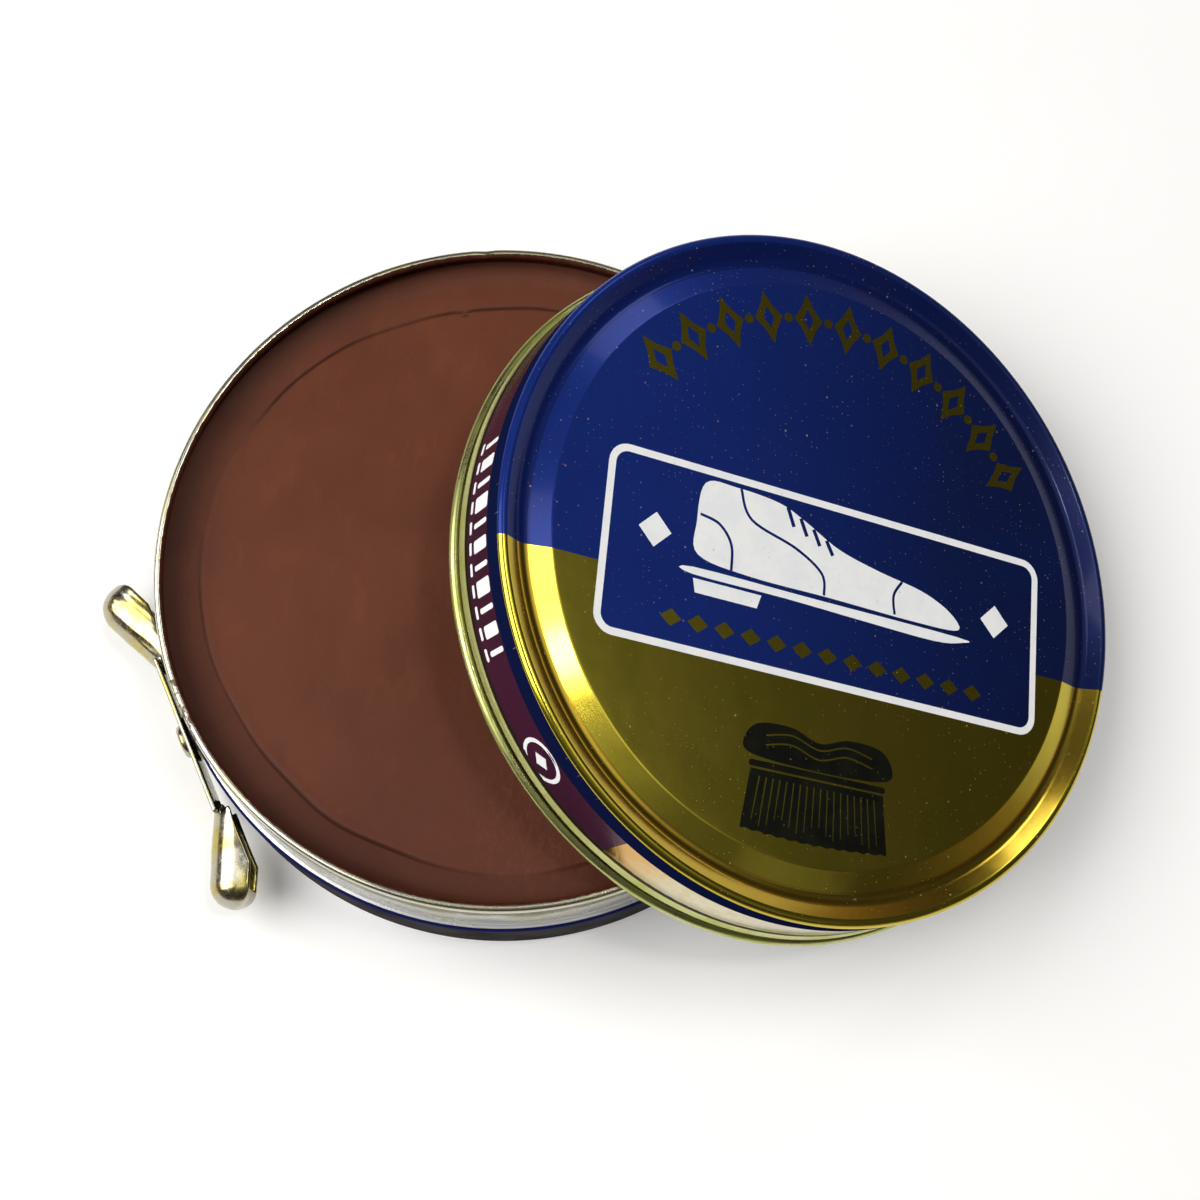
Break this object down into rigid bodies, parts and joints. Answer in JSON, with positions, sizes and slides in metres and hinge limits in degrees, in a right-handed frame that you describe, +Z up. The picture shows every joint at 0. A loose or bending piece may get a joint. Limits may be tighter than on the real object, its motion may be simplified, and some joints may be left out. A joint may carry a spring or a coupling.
{
  "type": "shoe polish tin",
  "caption": "Round drawn tin of wax polish shown open, its domed lid leaning on the rim, with a riveted butterfly key on the side that turns to prise the lid up.",
  "frame": {"origin": "centre of the base's flat underside", "axes": "+X from the base towards the leaning lid, which is the object's longest extent; +Z up out of the base, with the underside facing -Z"},
  "size_m": [0.1039, 0.07, 0.0374],
  "materials": {
    "base_tinplate": "bright bare tinplate, with dark print on the lower wall",
    "polish_wax": "satin brown wax",
    "key_steel": "bright stamped steel",
    "lid_print": "glossy printed tinplate, blue over metallic gold"
  },
  "bodies": {
    "tin": {"base_pan": "base_tinplate", "polish": "polish_wax", "key_rivet": "key_steel"},
    "key": {"opener_key": "key_steel"},
    "lid": {"lid": "lid_print"}
  },
  "joints": [
    {"name": "key_turn", "type": "hinge", "parent": "tin", "child": "key", "pos_m": [-0.03078, -0.01514, 0.005], "axis": [-0.8973, -0.4415, 0], "continuous": true},
    {"name": "lid_lift", "type": "slide", "parent": "tin", "child": "lid", "axis": [0, 0, 1], "range_m": [0, 0.06]}
  ]
}
